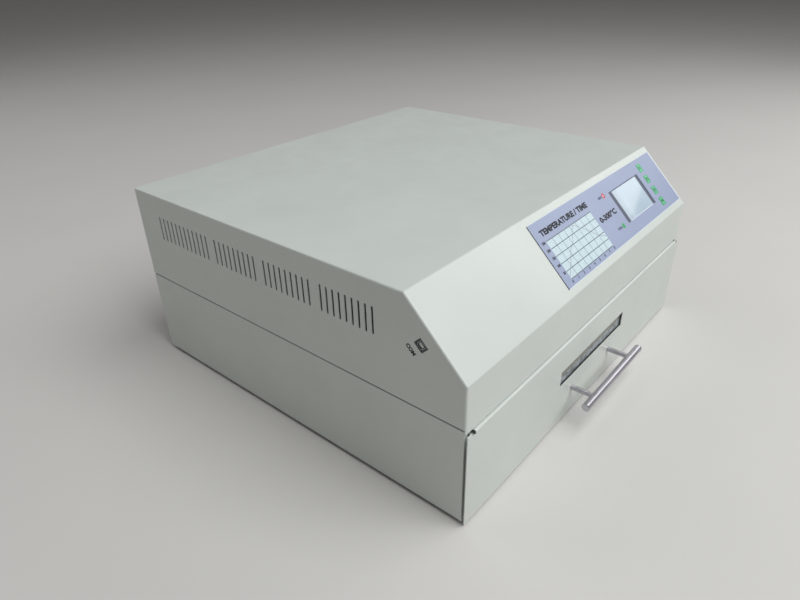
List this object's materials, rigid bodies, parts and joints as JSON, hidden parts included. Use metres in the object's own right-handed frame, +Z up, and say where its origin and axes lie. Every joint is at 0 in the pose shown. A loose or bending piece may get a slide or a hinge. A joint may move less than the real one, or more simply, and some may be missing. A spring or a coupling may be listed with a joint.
{
  "type": "reflow oven",
  "caption": "Benchtop infrared reflow oven: sheet-metal case with sloped display panel, heater hood, and a windowed drawer on telescopic slides with a bar handle.",
  "frame": {"origin": "middle of the bounding box at the bottom of the rubber feet", "axes": "+Z up; -Y is the front, with the drawer's face and handle; +X is to the right seen from the front"},
  "size_m": [0.6, 0.6061, 0.265],
  "materials": {
    "case_paint": "light warm grey powder coat, satin",
    "zinc_steel": "zinc-plated sheet",
    "screw_steel": "zinc-plated screws",
    "slide_steel": "bright slide members",
    "reflector_metal": "polished reflector",
    "heatsink_metal": "extruded, matt",
    "chrome": "satin to bright chrome plate",
    "bright_wire": "plated wire",
    "socket_shell": "nickel-plated shell",
    "mineral_wool": "ceramic fibre, matt",
    "quartz": "clear quartz",
    "window_pane": "smoked heat-resistant glass",
    "ceramic": "unglazed ceramic",
    "rubber_black": "black rubber",
    "black_plastic": "black moulded plastic",
    "panel_film": "printed film, satin",
    "lcd_glass": "pale display",
    "lamp_lens": "lamp lens",
    "key_green": "green key film",
    "board": "green circuit board",
    "wire_sleeve": "wire sleeve",
    "heater_sleeve": "silicone glass sleeve",
    "winding": "transformer core and winding",
    "rocker_red": "red rocker"
  },
  "bodies": {
    "cabinet": {"base_pan": "case_paint", "top_cover": "case_paint", "rear_panel": "case_paint", "case_screws": "screw_steel", "feet": "rubber_black", "heater_hood": "zinc_steel", "hood_insulation": "mineral_wool", "reflector": "reflector_metal", "tube_holders": "zinc_steel", "quartz_tubes": "quartz", "tube_end_caps": "ceramic", "exhaust_duct": "zinc_steel", "thermocouples": "bright_wire", "rail_brackets": "zinc_steel", "outer_rails": "zinc_steel", "panel_overlay": "panel_film", "lcd_bezel": "black_plastic", "lcd_screen": "lcd_glass", "indicator_lamps": "lamp_lens", "control_board": "board", "key_switches": "black_plastic", "board_standoffs": "zinc_steel", "usb_socket": "socket_shell", "usb_board": "board", "usb_lead": "wire_sleeve", "electronics_shelf": "zinc_steel", "power_board": "board", "triac_heatsink": "heatsink_metal", "transformer": "winding", "exhaust_fan_frame": "black_plastic", "exhaust_guard": "bright_wire", "cooling_fan_frame": "black_plastic", "cooling_guard": "bright_wire", "power_inlet": "black_plastic", "switch_housing": "black_plastic", "mains_wires": "wire_sleeve", "heater_wires": "heater_sleeve"},
    "drawer": {"drawer_front": "case_paint", "drawer_inner_panel": "zinc_steel", "drawer_box": "zinc_steel", "drawer_insulation": "mineral_wool", "window_gasket": "rubber_black", "window_glass": "window_pane", "window_retainer": "zinc_steel", "handle_bar": "chrome", "handle_posts": "chrome", "handle_screws": "screw_steel", "wire_tray": "bright_wire", "tray_rests": "zinc_steel", "inner_rails": "slide_steel"},
    "left_middle_slide": {"left_middle_rail": "slide_steel"},
    "right_middle_slide": {"right_middle_rail": "slide_steel"},
    "key_1_cap": {"key_1": "key_green"},
    "key_2_cap": {"key_2": "key_green"},
    "key_3_cap": {"key_3": "key_green"},
    "key_4_cap": {"key_4": "key_green"},
    "rocker": {"switch_rocker": "rocker_red"},
    "exhaust_rotor": {"exhaust_impeller": "black_plastic"},
    "cooling_rotor": {"cooling_impeller": "black_plastic"}
  },
  "joints": [
    {"name": "drawer_slide", "type": "slide", "parent": "cabinet", "child": "drawer", "axis": [0, -1, 0], "range_m": [0, 0.38]},
    {"name": "left_middle_travel", "type": "slide", "parent": "cabinet", "child": "left_middle_slide", "axis": [0, -1, 0], "range_m": [0, 0.19]},
    {"name": "right_middle_travel", "type": "slide", "parent": "cabinet", "child": "right_middle_slide", "axis": [0, -1, 0], "range_m": [0, 0.19]},
    {"name": "key_1_press", "type": "slide", "parent": "cabinet", "child": "key_1_cap", "axis": [0, 0.7071, -0.7071], "range_m": [0, 0.0005], "stiffness_N_per_m": 2000},
    {"name": "key_2_press", "type": "slide", "parent": "cabinet", "child": "key_2_cap", "axis": [0, 0.7071, -0.7071], "range_m": [0, 0.0005], "stiffness_N_per_m": 2000},
    {"name": "key_3_press", "type": "slide", "parent": "cabinet", "child": "key_3_cap", "axis": [0, 0.7071, -0.7071], "range_m": [0, 0.0005], "stiffness_N_per_m": 2000},
    {"name": "key_4_press", "type": "slide", "parent": "cabinet", "child": "key_4_cap", "axis": [0, 0.7071, -0.7071], "range_m": [0, 0.0005], "stiffness_N_per_m": 2000},
    {"name": "power_rocker", "type": "hinge", "parent": "cabinet", "child": "rocker", "pos_m": [-0.16, 0.29645, 0.065], "axis": [1, 0, 0], "range_deg": [0, 16]},
    {"name": "exhaust_spin", "type": "hinge", "parent": "cabinet", "child": "exhaust_rotor", "pos_m": [0, 0.28645, 0.157], "axis": [0, 1, 0], "continuous": true},
    {"name": "cooling_spin", "type": "hinge", "parent": "cabinet", "child": "cooling_rotor", "pos_m": [0.19, 0.28645, 0.21], "axis": [0, 1, 0], "continuous": true}
  ],
  "couplings": [
    {"joint": "left_middle_travel", "follows": "drawer_slide", "ratio": 0.5},
    {"joint": "right_middle_travel", "follows": "drawer_slide", "ratio": 0.5}
  ]
}
